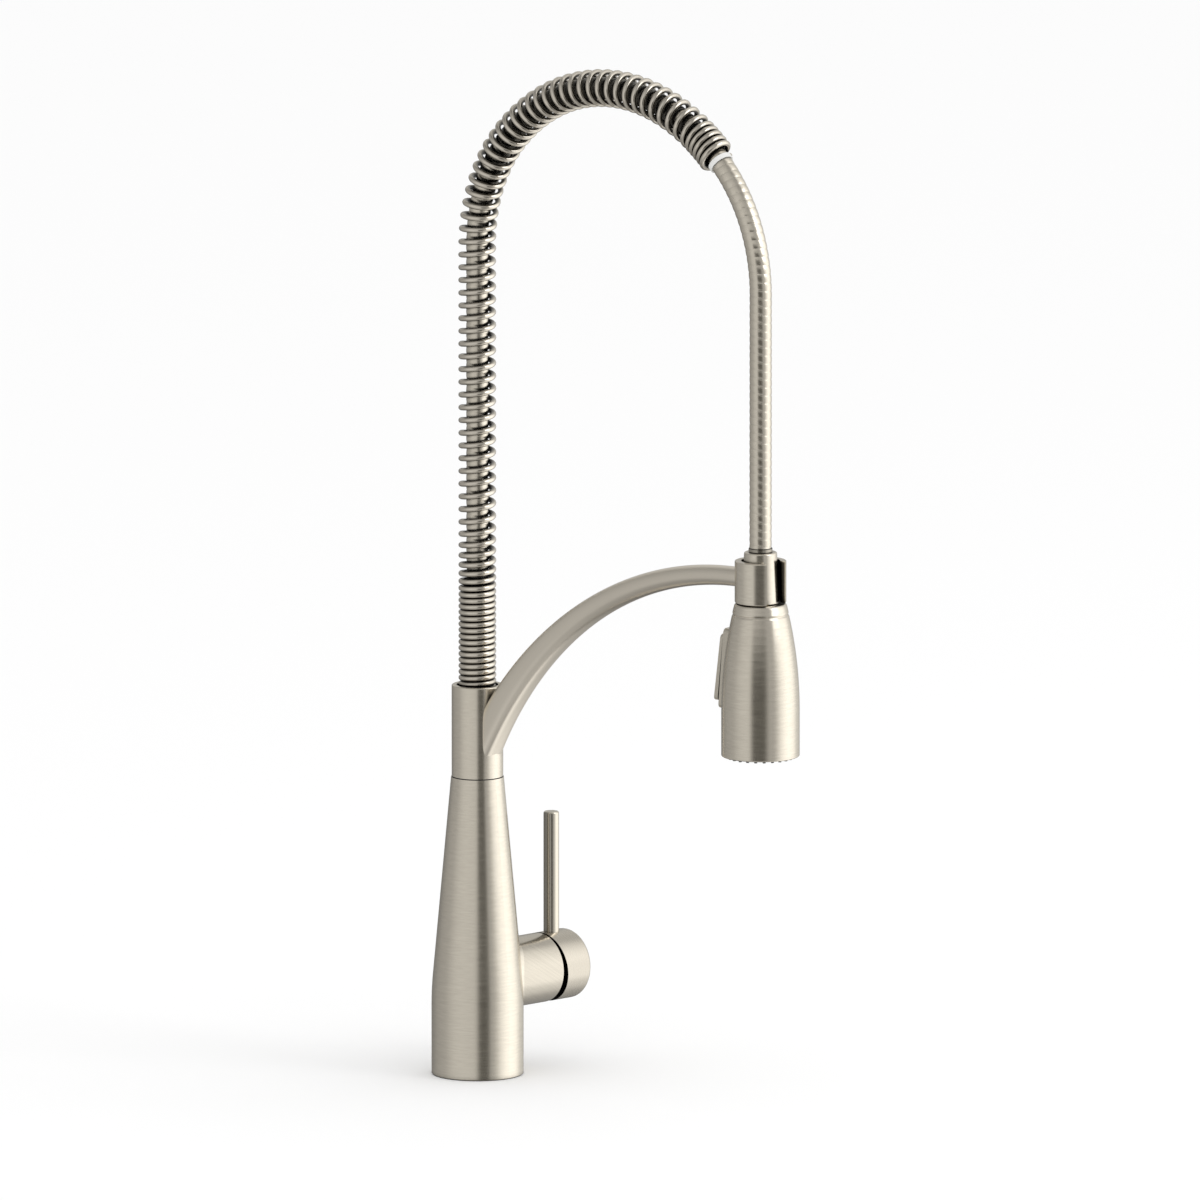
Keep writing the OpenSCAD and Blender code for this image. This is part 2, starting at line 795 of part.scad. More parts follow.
module hose_bend(c, r, a, sweep, r_out, r_in) {
    translate([c[0], 0, c[1]]) rotate([90, 0, 0]) rotate([0, 0, a])
        rotate_extrude(angle = sweep, $fn = 128) translate([r, 0]) difference() {
            circle(r = r_out, $fn = 32);
            circle(r = r_in, $fn = 32);
        }
}

module riser_sheath() {
    color(NICKEL) hose_rise(hose_r, sheath_in_r, spring_sweep);
}

module drop_sheath() {
    color(NICKEL) {
        hose_bend(crown_c, crown_r, 45, 90 - spring_sweep, hose_r, sheath_in_r);
        hose_fall(hose_r, sheath_in_r, collar_top - 6);
    }
}

module hose_liner() {
    color(GREY_PLASTIC) {
        hose_rise(liner_r[0], liner_r[1], 90);
        hose_fall(liner_r[0], liner_r[1], collar_top - 14);
    }
}

module hose_ferrule() {
    color(NICKEL) at_head() difference() {
        union() {
            rod(ferrule_r, collar_top + 0.5, collar_top + ferrule_h - 0.4);
            rod(ferrule_r - 0.3, collar_top, collar_top + ferrule_h);
        }
        rod(hose_r + 0.05, collar_top - 1, collar_top + ferrule_h + 1);
    }
}

// The tapered collar that docks in the clamp
module hose_collar() {
    edge = 1;
    color(NICKEL) at_head() difference() {
        rotate_extrude($fn = 96) polygon(concat(
            [[0, clamp_z[0] + 0.1], [collar_r[0], clamp_z[0] + 0.1]],
            arc([collar_r[1] - edge, collar_top - edge], edge, 8, 90, 4),
            [[0, collar_top]]
        ));
        rod(hose_r + 0.05, collar_top - 8, collar_top + 1);
        rod(5.3, collar_top - 16, collar_top + 1);
        rod(nipple_r, clamp_z[0], nipple_z[1]);
        rod(3.2, clamp_z[0], collar_top);
    }
}

// The hose's end piece, which the head turns on
module swivel_nipple() {
    color(BRASS) at_head() difference() {
        union() {
            rod(nipple_r, nipple_z[0] + 4, nipple_z[1]);
            rod(flange_r, nipple_z[0], nipple_z[0] + 4);
        }
        rod(3.2, nipple_z[0] - 1, nipple_z[1] + 1);
        ring(nipple_r + 1, nipple_r - 1, oring_z - 0.7, oring_z + 0.7);
    }
}

module nipple_oring() {
    color(RUBBER) at_head() oring(nipple_r - 0.98, nipple_r + 0.03, oring_z);
}

// ---------------------------------------------------------------- spray head

// Radius of the head below its shoulder groove
bulge_z = [320.2, 262];
bulge_r = 17.8;
function bulge(z) = head_r - (head_r - bulge_r)
    * pow(max(0, z - bulge_z[1]) / (bulge_z[0] - bulge_z[1]), 2);

// Outer outline of the shell, from the hole in its shoulder down to the rim
shell_hole_r = 10.1;
shell_outline = concat(
    [[shell_hole_r, shoulder_z]],
    arc([14.4, shoulder_z - 2], 2, 90, 15, 5),
    [[17.3, 322.9]],
    arc([17.75, 321.6], 0.75, 130, 240, 5),
    [for (i = [0:12]) let (z = bulge_z[0] + (bulge_z[1] - bulge_z[0]) * i / 12) [bulge(z), z]],
    arc([head_r - 0.8, head_z + 0.8], 0.8, 0, -90, 4)
);
skin_t = 1.6;

module head_shell() {
    last = len(shell_outline) - 1;
    inner = [for (i = [last:-1:1]) [shell_outline[i][0] - skin_t, shell_outline[i][1] - 1.2]];
    color(NICKEL) difference() {
        at_head() rotate_extrude($fn = 96) polygon(concat(
            shell_outline,
            [[head_r - skin_t, head_z]],
            [for (p = inner) if (p[1] > head_z) [min(p[0], head_r - skin_t), p[1]]],
            [[shell_hole_r, shoulder_z - 1.2]]
        ));
        bezel_block(12, 40);
    }
}

// Points of an upright rectangle with round corners, across and up
function round_frame(width, z0, z1, r) = concat(
    arc([width / 2 - r, z1 - r], r, 0, 90, 5),
    arc([r - width / 2, z1 - r], r, 90, 180, 5),
    arc([r - width / 2, z0 + r], r, 180, 270, 5),
    arc([width / 2 - r, z0 + r], r, 270, 360, 5)
);

// A block behind an outline that faces away from the arm, between two distances from the head's axis
module back_block(outline, near, far) {
    at_head() translate([-near, 0, 0]) rotate([90, 0, -90])
        linear_extrude(far - near) polygon(outline);
}

// A large tilted cylinder that gives a block a crowned, slanted front
module crown_front(front, tilt) {
    crown = 60;
    at_head() translate([-front, 0, frame_z[0]]) rotate([0, tilt, 0])
        translate([crown, 0, -30]) cylinder(r = crown, h = 110, $fn = 256);
}

module bezel_block(near, far) {
    back_block(round_frame(frame_w, frame_z[0], frame_z[1], frame_corner), near, far);
}

// The frame around the button, which also carries the button's pin
module button_bezel() {
    color(NICKEL) difference() {
        intersection() {
            bezel_block(13.3, 32);
            crown_front(bezel_front, bezel_tilt);
        }
        back_block(round_frame(18, frame_z[0] + 6, frame_z[1] - 7, 3), 10, 40);
        pin_line(1.2, 11.5);
    }
}

module pin_line(r, half) {
    at_head() translate([-pin_out, half, pin_z]) rotate([90, 0, 0]) cylinder(r = r, h = 2 * half);
}

module button_pin() {
    color(STEEL) pin_line(1.2, 11.5);
}

// The rocker: a pad in front of the frame, a stem through it and a fork that moves the spool
module button_pad() {
    color(NICKEL) difference() {
        union() {
            intersection() {
                difference() {
                    back_block(round_frame(frame_w - 1, pad_z[0], pad_z[1], pad_corner), 16, 36);
                    crown_front(bezel_front + pad_gap, bezel_tilt + pad_gap_tilt);
                }
                crown_front(pad_front, pad_tilt);
            }
            intersection() {
                back_block(round_frame(17.4, frame_z[0] + 7, frame_z[1] - 8, 3), 16.4, 36);
                crown_front(pad_front - 1.6, pad_tilt);
            }
            at_head() translate([-17, -3, pin_z - 0.9]) cube([17 - spool_out + 1.4, 6, 1.8]);
        }
        at_head() translate([-spool_out, 0, 0]) rod(1.35, pin_z - 2, pin_z + 2);
        at_head() translate([-spool_out, -1.35, pin_z - 2]) cube([4, 2.7, 4]);
        pin_line(1.25, 12);
    }
}

module swivel_nut() {
    color(BRASS) at_head() difference() {
        rod(shell_hole_r - 0.1, seat_top + 1.5, shoulder_z - 0.2);
        rod(nipple_r + 0.06, seat_top, shoulder_z + 1);
        rod(flange_r + 0.1, seat_top, nipple_z[0] + 4.1);
    }
}

// The inner waterway body: swivel socket on top, check valve, diverter bore and face flange
module head_core() {
    color(WHITE_PLASTIC) at_head() difference() {
        union() {
            rod(core_r, core_z[0], core_step);
            rod(core_neck_r, core_step - eps, core_z[1]);
            rod(head_r - skin_t - 0.1, core_z[0], core_z[0] + 4);
        }
        rod(shell_hole_r - 0.1, seat_top, core_z[1] + 1);
        rod(check_r, check_floor, seat_top + 1);
        rod(4, 262, check_floor + 1);
        rod(2.5, 246, 263);
        rod(9.3, core_z[0] - 1, core_z[0] + 8);
        ring(21.3, 13, core_z[0] - 1, core_z[0] + 2);
        translate([-core_neck_r - 17, -frame_w / 2 - 0.2, frame_z[0] - 0.4]) cube([17, frame_w + 0.4, 60]);
        translate([-14, -3.6, 284]) cube([14 - 4.8, 7.2, 9]);
        translate([-spool_out, 0, 0]) rod(spool_r + running, 263, 285);
        translate([-14.5, 0, 0]) rod(1.2, core_z[0], 250);
        translate([-spool_out, 0, 282]) rotate([0, 90, 0]) rod(1.4, 0, spool_out);
        translate([-14.5, 0, 250]) rotate([0, 90, 0]) rod(1.2, -1.2, 14.5 - spool_out + 2);
        translate([-spool_out, 0, 0]) rod(1.2, 249, 264);
    }
}

module nozzle_ring(n, r) {
    for (i = [0:n - 1]) rotate(360 * (i + 0.5) / n) translate([r, 0, 0]) children();
}

module all_nozzles() {
    nozzle_ring(outer_nozzles, 20) children();
    nozzle_ring(16, 15.6) children();
}

module face_plate() {
    color(NICKEL) at_head() difference() {
        ring(head_r - skin_t - 0.05, 9.35, face_z[0], face_z[1]);
        rod(10.6, face_z[0] - 1, face_z[0] + 1.4);
        all_nozzles() rod(1.35, face_z[0] - 1, face_z[1] + 1);
    }
}

// Soft nozzles moulded on one ring, standing out through the face plate
module nozzle_mat() {
    color(GREY_PLASTIC) at_head() difference() {
        union() {
            ring(22, 12.4, face_z[1], core_z[0]);
            all_nozzles() translate([0, 0, head_z - 1.2])
                cylinder(r1 = 0.95, r2 = 1.3, h = face_z[1] - head_z + 1.3, $fn = 24);
        }
        all_nozzles() rod(0.4, head_z - 2, core_z[0] + 1, $fn = 16);
    }
}

module aerator() {
    color(STEEL) at_head() difference() {
        union() {
            rod(9.3, face_z[0] + 1.3, core_z[0] + 7);
            rod(10.5, face_z[0] + 0.2, face_z[0] + 1.4);
        }
        rod(7.8, face_z[0] - 1, face_z[0] + 2.4);
        for (x = [-6:2:6]) for (y = [-6:2:6])
            if (norm([x, y]) < 7) translate([x, y, 0]) rod(0.65, head_z, core_z[0] + 8);
    }
}

// ---------------------------------------------------------------- check valve and diverter

module check_seat() {
    color(BRASS) at_head() ring(check_r, 3.4, seat_top - 4, seat_top);
}

module check_guide() {
    color(WHITE_PLASTIC) at_head() difference() {
        rod(check_r, check_floor, check_floor + 2);
        rod(1.25, check_floor - 1, check_floor + 3);
        nozzle_ring(4, 4) rod(1.5, check_floor - 1, check_floor + 3);
    }
}

// The poppet closes upwards against the seat and is pushed down by the water
module check_poppet() {
    color(GREY_PLASTIC) at_head() {
        union() {
            rod(4.8, seat_top - 5.6, seat_top - 4.02);
            rod(1.2, check_floor - 0.6, seat_top - 5);
        }
    }
}

module diverter_spool() {
    color(GREY_PLASTIC) at_head() translate([-spool_out, 0, 0]) difference() {
        union() {
            rod(spool_r, 266, pin_z - 1.35);
            rod(1.2, pin_z - 1.4, pin_z + 1.4);
            rod(spool_r, pin_z + 1.35, pin_z + 3);
        }
        for (z = spool_rings) ring(spool_r + 1, 1.7, z - 0.5, z + 0.5);
    }
}

module spool_orings() {
    color(RUBBER) at_head() translate([-spool_out, 0, 0])
        for (z = spool_rings) oring(1.71, spool_r + 0.04, z);
}

// ---------------------------------------------------------------- choice of node

base_body();
base_gasket();
mounting_shank();
hot_inlet();
cold_inlet();
inlet_holder();
waterway_block();
port_orings();
block_screws();
outlet_tube();
lower_bush();
upper_bush();
thrust_washer();
cartridge_base();
cartridge_seals();
fixed_disc();
cartridge_housing();
cartridge_nut();
rotor();
rotor_oring();
pivot_pin();
moving_disc();
disc_carrier();
valve_stem();
handle_cap();
lever_rod();
handle_grub_screw();
handle_plug();
spout_spigot();
swivel_orings();
retaining_clip();
post_sleeve();
post_grub_screw();
hose_nut();
spring_seat();
spring();
spring_end_ring();
support_arm();
docking_clamp();
riser_sheath();
drop_sheath();
hose_liner();
hose_ferrule();
hose_collar();
swivel_nipple();
nipple_oring();
head_shell();
swivel_nut();
head_core();
face_plate();
nozzle_mat();
aerator();
check_seat();
check_guide();
check_poppet();
button_bezel();
button_pin();
button_pad();
diverter_spool();
spool_orings();
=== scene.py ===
import math

import bmesh
import bpy
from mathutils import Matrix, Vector


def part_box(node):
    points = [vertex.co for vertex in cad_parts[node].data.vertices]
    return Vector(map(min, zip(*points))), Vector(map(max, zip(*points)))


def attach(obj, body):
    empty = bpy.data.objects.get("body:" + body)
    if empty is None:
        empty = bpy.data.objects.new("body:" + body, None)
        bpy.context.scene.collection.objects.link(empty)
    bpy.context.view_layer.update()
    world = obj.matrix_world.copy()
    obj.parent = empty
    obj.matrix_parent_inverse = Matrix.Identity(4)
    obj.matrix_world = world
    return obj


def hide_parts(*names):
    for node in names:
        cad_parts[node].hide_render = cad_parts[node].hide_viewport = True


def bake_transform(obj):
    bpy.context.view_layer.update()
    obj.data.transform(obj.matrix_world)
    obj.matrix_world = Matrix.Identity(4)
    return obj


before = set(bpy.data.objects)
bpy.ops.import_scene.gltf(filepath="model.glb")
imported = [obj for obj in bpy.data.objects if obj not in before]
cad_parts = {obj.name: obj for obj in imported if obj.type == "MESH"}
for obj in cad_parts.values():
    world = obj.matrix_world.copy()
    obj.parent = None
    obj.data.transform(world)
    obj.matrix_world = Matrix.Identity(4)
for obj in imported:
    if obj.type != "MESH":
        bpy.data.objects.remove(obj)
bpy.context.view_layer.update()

MM = 0.001
FULL_TURN = 2 * math.pi

# ------------------------------------------------------------------ places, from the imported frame

def middle(node, axis):
    lo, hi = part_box(node)
    return (lo[axis] + hi[axis]) / 2


def half_size(node, axis):
    lo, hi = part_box(node)
    return (hi[axis] - lo[axis]) / 2


def foot(node):
    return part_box(node)[0].z


def top(node):
    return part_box(node)[1].z


X, Y, Z = range(3)
HEAD_X = middle("head_shell", X)
HUB_Z = middle("handle_cap", Z)
LEVER_Y = middle("lever_rod", Y)
CLAMP_R = half_size("docking_clamp", Y)
FERRULE_R = half_size("hose_ferrule", Y)
SPRING_R = -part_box("spring")[0].x
HOSE_R = -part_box("riser_sheath")[0].x
BASE_R = -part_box("base_body")[0].y
HUB_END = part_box("base_body")[1].y

# The hose loop: up the column, over a shoulder, a crown and a shoulder, and down at the head
BEND_Z = 521 * MM
SHOULDER_R = 104 * MM
CROWN_R = 135 * MM
CROWN_C = Vector((HEAD_X / 2, 0, BEND_Z - (CROWN_R - SHOULDER_R) * math.sin(math.pi / 4)))
SPRING_SWEEP = math.radians(85.5)

WIRE_R = 1.75 * MM
SPRING_Z0 = 221 * MM
RISER_L = BEND_Z - SPRING_Z0
SHOULDER_L = SHOULDER_R * math.pi / 4
CROWN_L = CROWN_R * math.pi / 2
SPRING_L = RISER_L + SHOULDER_L + CROWN_R * SPRING_SWEEP
FALL_START = RISER_L + SHOULDER_L + CROWN_L
FALL_END = FALL_START + SHOULDER_L + BEND_Z - foot("drop_sheath")

# The docking arm: an arc round ARM_C from the post to the clamp, thicker and squarer at its root
ARM_C = Vector((240 * MM, 0, 78.9 * MM))
ARM_R = 263.5 * MM
ARM_TIP = 12 * MM
ARM_ROOT_H = 19 * MM
ARM_ROOT_W = 17 * MM
ARM_LIFT = 2.2 * MM
ARM_SQUARE = 4
ARM_X0 = 14.6 * MM
ARM_X1 = HEAD_X - 14.4 * MM


def loop_point(s):
    """Place and heading (0 is up, pi is down) on the hose loop, s metres from the spring's foot."""
    if s < RISER_L:
        return Vector((0, 0, SPRING_Z0 + s)), 0.0
    if s < RISER_L + SHOULDER_L:
        a = (s - RISER_L) / SHOULDER_R
        return Vector((SHOULDER_R * (1 - math.cos(a)), 0, BEND_Z + SHOULDER_R * math.sin(a))), a
    if s < FALL_START:
        a = (s - RISER_L - SHOULDER_L) / CROWN_R + math.pi / 4
        return CROWN_C + Vector((-CROWN_R * math.cos(a), 0, CROWN_R * math.sin(a))), a
    if s < FALL_START + SHOULDER_L:
        a = (s - FALL_START) / SHOULDER_R + 3 * math.pi / 4
        centre = Vector((HEAD_X - SHOULDER_R, 0, BEND_Z))
        return centre + Vector((-SHOULDER_R * math.cos(a), 0, SHOULDER_R * math.sin(a))), a
    down = s - FALL_START - SHOULDER_L
    return Vector((HEAD_X, 0, BEND_Z - down)), math.pi


def around_loop(s, radius, angle):
    """A point beside the loop, s metres along it, at a radius and an angle round it."""
    place, heading = loop_point(s)
    side = Vector((math.cos(heading), 0, -math.sin(heading)))
    across = Vector((0, 1, 0))
    return place + radius * (math.cos(angle) * side + math.sin(angle) * across)


# ------------------------------------------------------------------ mesh helpers

def new_object(name, verts, faces, smooth_angle=35):
    mesh = bpy.data.meshes.new(name)
    mesh.from_pydata([tuple(v) for v in verts], [], faces)
    mesh.validate()
    bm = bmesh.new()
    bm.from_mesh(mesh)
    bmesh.ops.recalc_face_normals(bm, faces=bm.faces)
    bm.to_mesh(mesh)
    bm.free()
    mesh.shade_smooth()
    mesh.set_sharp_from_angle(angle=math.radians(smooth_angle))
    obj = bpy.data.objects.new(name, mesh)
    bpy.context.scene.collection.objects.link(obj)
    return obj


def loft(name, rings, smooth_angle, closed_loop=False):
    """A skin over rings of points of one count. A closed loop joins its last ring to its first."""
    n = len(rings[0])
    verts = [p for ring in rings for p in ring]
    faces = []
    joints = len(rings) if closed_loop else len(rings) - 1
    for i in range(joints):
        k = (i + 1) % len(rings)
        for j in range(n):
            m = (j + 1) % n
            faces.append((i * n + j, i * n + m, k * n + m, k * n + j))
    if not closed_loop:
        faces.append(tuple(range(n - 1, -1, -1)))
        faces.append(tuple((len(rings) - 1) * n + j for j in range(n)))
    return new_object(name, verts, faces, smooth_angle)


def paint(obj, finish):
    obj.data.materials.clear()
    obj.data.materials.append(finish)


# ------------------------------------------------------------------ materials

class Graph:
    """Short ways to write a node tree."""

    def __init__(self, tree):
        self.tree = tree
        tree.nodes.clear()

    def node(self, kind, settings=None, **inputs):
        n = self.tree.nodes.new(kind)
        for key, value in (settings or {}).items():
            setattr(n, key, value)
        for key, value in inputs.items():
            self.feed(n, key.replace("_", " "), value)
        return n

    def feed(self, n, key, value):
        """Links or sets an input, named by its label or, as in i0, by its place."""
        by_place = key[0] == "i" and key[1:].isdigit()
        socket = n.inputs[int(key[1:])] if by_place else n.inputs[key]
        if isinstance(value, bpy.types.NodeSocket):
            self.tree.links.new(value, socket)
        else:
            socket.default_value = value

    def output(self, kind, shader):
        self.tree.links.new(shader.outputs[0], self.node(kind).inputs[0])

    def coordinate(self, which):
        return self.node("ShaderNodeTexCoord").outputs[which]

    def math(self, op, a, b=0.0):
        return self.node("ShaderNodeMath", {"operation": op}, i0=a, i1=b).outputs[0]

    def vec(self, op, a, b=(0, 0, 0)):
        n = self.node("ShaderNodeVectorMath", {"operation": op}, i0=a, i1=b)
        return n.outputs["Value"] if op in ("DOT_PRODUCT", "LENGTH") else n.outputs[0]

    def scale(self, vector, factor):
        return self.node("ShaderNodeVectorMath", {"operation": "SCALE"}, i0=vector, Scale=factor).outputs[0]

    def height(self, vector):
        return self.node("ShaderNodeSeparateXYZ", None, i0=vector).outputs[2]

    def noise(self, vector, scale, detail, rough=0.5):
        n = self.node("ShaderNodeTexNoise", None, Vector=vector, Scale=scale, Detail=detail, Roughness=rough)
        return n.outputs["Fac"]

    def swing(self, start, *waves):
        """The start value, plus noises centred on 0, each times its own amount."""
        total = start
        for noise, amount in waves:
            total = self.math("ADD", total, self.math("MULTIPLY", self.math("SUBTRACT", noise, 0.5), amount))
        return total

    def remap(self, value, from_min, from_max, to_min, to_max):
        n = self.node("ShaderNodeMapRange", None, Value=value)
        limits = {"From Min": from_min, "From Max": from_max, "To Min": to_min, "To Max": to_max}
        for key, limit in limits.items():
            n.inputs[key].default_value = limit
        return n.outputs[0]

    def ramp(self, value, stops, interpolation="LINEAR"):
        """A colour ramp. A stop is a place from 0 to 1 and its colour."""
        n = self.node("ShaderNodeValToRGB", None, Fac=value)
        ramp = n.color_ramp
        ramp.interpolation = interpolation
        while len(ramp.elements) > 1:
            ramp.elements.remove(ramp.elements[-1])
        ramp.elements[0].position = stops[0][0]
        ramp.elements[0].color = (*stops[0][1], 1)
        for place, colour in stops[1:]:
            ramp.elements.new(place).color = (*colour, 1)
        return n.outputs["Color"]

    def grey_ramp(self, value, stops, interpolation="LINEAR"):
        return self.ramp(value, [(place, (tone,) * 3) for place, tone in stops], interpolation)

    def mix(self, fac, a, b, blend="MIX"):
        n = self.node("ShaderNodeMix", {"data_type": "RGBA", "blend_type": blend}, i0=fac, i6=a, i7=b)
        return n.outputs[2]

    def gap_shade(self, reach, low, span):
        """A painted shade factor from ambient occlusion: 1 in the open, falling to low in gaps narrower than
        reach.
        """
        n = self.node("ShaderNodeAmbientOcclusion", {"samples": 12}, Distance=reach)
        return self.remap(n.outputs["AO"], span[0], span[1], low, 1.0)

    def bump(self, strength, distance, height, **below):
        return self.node("ShaderNodeBump", None, Strength=strength, Distance=distance, Height=height, **below)


def material(name):
    mat = bpy.data.materials.new(name)
    mat.use_nodes = True
    return mat, Graph(mat.node_tree)


FINE_LINES = 2600.0
BROAD_LINES = 950.0
RADIUS_SHARE = 0.7
LINE_DEPTH = 0.03 * MM
GRAIN_DEPTH = 0.08 * MM
# painted highlight on edges: how far it brightens them, and its colour gain
EDGE_HIGHLIGHT = 0.2
EDGE_HIGHLIGHT_GAIN = (1.18, 1.18, 1.2)
# painted shade inside the clamp and the ferrule
INNER_SHADE_TONE = 0.13
# painted shade on faces that look into deep gaps
GAP_SHADE_TONE = 0.01
# painted shade in gaps: how open a place is where it begins and ends, from 0 to 1
OPEN_SPAN = (0.22, 0.72)


def brushed_metal(name, colour, axis, roughness=0.25, grain=1.0, spread=0.06, reach=0.005, low=0.12,
                  inner_shade=None, gap_face=None, dim=None, lee=None):
    """Metal brushed round an axis: lines that run round it, with streaks of roughness and tone."""
    mat, g = material(name)
    origin, along = axis
    place = g.coordinate("Object")
    local = g.vec("SUBTRACT", place, origin)
    run = g.vec("DOT_PRODUCT", local, along)
    spoke = g.vec("SUBTRACT", local, g.scale(along, run))
    radius = g.vec("LENGTH", spoke)
    outward = g.vec("NORMALIZE", spoke)
    to_world = {"vector_type": "VECTOR", "convert_from": "OBJECT", "convert_to": "WORLD"}
    around = g.vec("CROSS_PRODUCT", along, outward)
    tangent = g.node("ShaderNodeVectorTransform", to_world, i0=around).outputs[0]

    def streaks(turn, lines, seed):
        """Noise stretched round the axis: turn is cells per unit round, lines is cells per metre along."""
        # the direction round the axis enters as its three parts, so that there is no seam,
        # and the radius counts along with the level, so that a flat end gets rings
        level = g.math("ADD", run, g.math("MULTIPLY", radius, RADIUS_SHARE))
        cell = g.vec("ADD", g.scale(outward, turn), g.scale(along, g.math("MULTIPLY", level, lines)))
        return g.noise(g.vec("ADD", cell, (seed, seed * 0.37, -seed)), 1.0, 3.0, 0.6)

    fine = streaks(2.0, FINE_LINES, 3.1)
    broad = streaks(2.6, BROAD_LINES, 11.7)
    cloud = g.noise(place, 28.0, 2.0)
    tone = g.swing(1.0, (fine, 0.8 * spread * grain), (broad, 2.6 * spread * grain), (cloud, 0.03))
    rough = g.swing(roughness, (fine, 0.04 * grain), (broad, 0.08 * grain))
    lines = g.bump(0.04 * grain, LINE_DEPTH, fine)
    lines = g.bump(0.03 * grain, LINE_DEPTH, broad, Normal=lines.outputs[0])

    # painted highlight: edges are made a little brighter in colour
    edge = g.node("ShaderNodeNewGeometry").outputs["Pointiness"]
    highlit_colour = [min(1, c * gain) for c, gain in zip(colour, EDGE_HIGHLIGHT_GAIN)]
    shade = g.mix(g.remap(edge, 0.56, 0.66, 0.0, EDGE_HIGHLIGHT), g.scale(colour, tone), (*highlit_colour, 1))
    # painted shade in gaps and recesses, multiplied into the colour
    shade = g.scale(shade, g.gap_shade(reach, low, OPEN_SPAN))
    if gap_face:
        # painted shade: a face that looks into a deep gap is darkened almost to black: (direction it faces,
        # how far along that direction it starts)
        facing = g.remap(g.vec("DOT_PRODUCT", g.coordinate("Normal"), gap_face[0]), 0.8, 0.9, 0.0, 1.0)
        there = g.math("GREATER_THAN", g.vec("DOT_PRODUCT", place, gap_face[0]), gap_face[1])
        shade = g.scale(shade, g.remap(g.math("MULTIPLY", facing, there), 0.0, 1.0, 1.0, GAP_SHADE_TONE))
    if dim:
        # painted shade: tone that falls away from the axis: (start radius, end radius, tone at the end)
        shade = g.scale(shade, g.remap(radius, dim[0], dim[1], 1.0, dim[2]))
    if lee:
        # painted reflection: the side turned to a darker neighbour, which it would reflect, is darkened:
        # (direction it faces, tone there)
        facing = g.vec("DOT_PRODUCT", g.coordinate("Normal"), lee[0])
        shade = g.scale(shade, g.remap(facing, 0.55, 0.85, 1.0, lee[1]))
    if inner_shade:
        # painted shade: the inside of a ring, out to a radius and below its top face, is darkened: (radius,
        # top face)
        beyond = g.remap(radius, inner_shade[0], inner_shade[0] + 0.4 * MM, 0.0, 1.0)
        above = g.remap(run, inner_shade[1], inner_shade[1] + 0.3 * MM, 0.0, 1.0)
        shade = g.scale(shade, g.remap(g.math("MAXIMUM", beyond, above), 0.0, 1.0, INNER_SHADE_TONE, 1.0))

    bsdf = g.node("ShaderNodeBsdfPrincipled", None, Metallic=1.0, Roughness=rough, Anisotropic=0.45,
                  Anisotropic_Rotation=0.25, Normal=lines.outputs[0], Tangent=tangent, Base_Color=shade)
    g.output("ShaderNodeOutputMaterial", bsdf)
    return mat


def plain_surface(name, colour, metallic, roughness, scale, grain, bump, reach=0.0, low=0.0, span=OPEN_SPAN):
    """Moulded, machined or cast surfaces: fine grain in tone, roughness and height."""
    mat, g = material(name)
    place = g.coordinate("Object")
    fine = g.noise(place, scale, 3.0, 0.6)
    cloud = g.noise(place, scale * 0.12, 2.0)
    shade = g.scale(colour, g.swing(1.0, (fine, grain), (cloud, grain)))
    if reach:
        # painted shade in gaps, multiplied into the colour
        shade = g.scale(shade, g.gap_shade(reach, low, span))
    rough = g.swing(roughness, (cloud, 0.2))
    grains = g.bump(bump, GRAIN_DEPTH, fine)
    bsdf = g.node("ShaderNodeBsdfPrincipled", None, Metallic=metallic, Roughness=rough, Base_Color=shade,
                  Normal=grains.outputs[0])
    g.output("ShaderNodeOutputMaterial", bsdf)
    return mat


NICKEL = (0.79, 0.74, 0.65)
# painted shade: a darker copy of the nickel for the handle cap; the hub of the base is darkened to match
SHADED_HUB_NICKEL = (0.63, 0.59, 0.52)
# painted light: a lighter copy of the nickel for the docking arm
LIT_ARM_NICKEL = (0.93, 0.87, 0.77)
SPRING_NICKEL = (0.80, 0.75, 0.67)
UP = (0.0, 0.0, 1.0)
TO_HUB = (0.0, 1.0, 0.0)
TO_COLUMN = (0.0, -1.0, 0.0)
COLUMN_AXIS = ((0.0, 0.0, 0.0), UP)
HEAD_AXIS = ((HEAD_X, 0.0, 0.0), UP)
HUB_AXIS = ((0.0, 0.0, HUB_Z), TO_HUB)
LEVER_AXIS = ((0.0, LEVER_Y, 0.0), UP)
ARM_AXIS = (tuple(ARM_C), TO_HUB)

# The places where brushed_metal paints shade into the colour, in the forms that it takes
hub_end_face = (TO_HUB, HUB_END - 0.5 * MM)
cap_inner_face = (TO_COLUMN, -1.0)
hub_painted_shade = (BASE_R, BASE_R + 0.8 * MM, 0.8)
clamp_inner_shade = (CLAMP_R - 0.9 * MM, top("docking_clamp") - 0.7 * MM)
ferrule_inner_shade = (FERRULE_R - 0.2 * MM, top("hose_ferrule") + 5 * MM)
# painted reflection: the lever's side towards the column is darkened
lever_reflection_shade = (TO_COLUMN, 0.42)

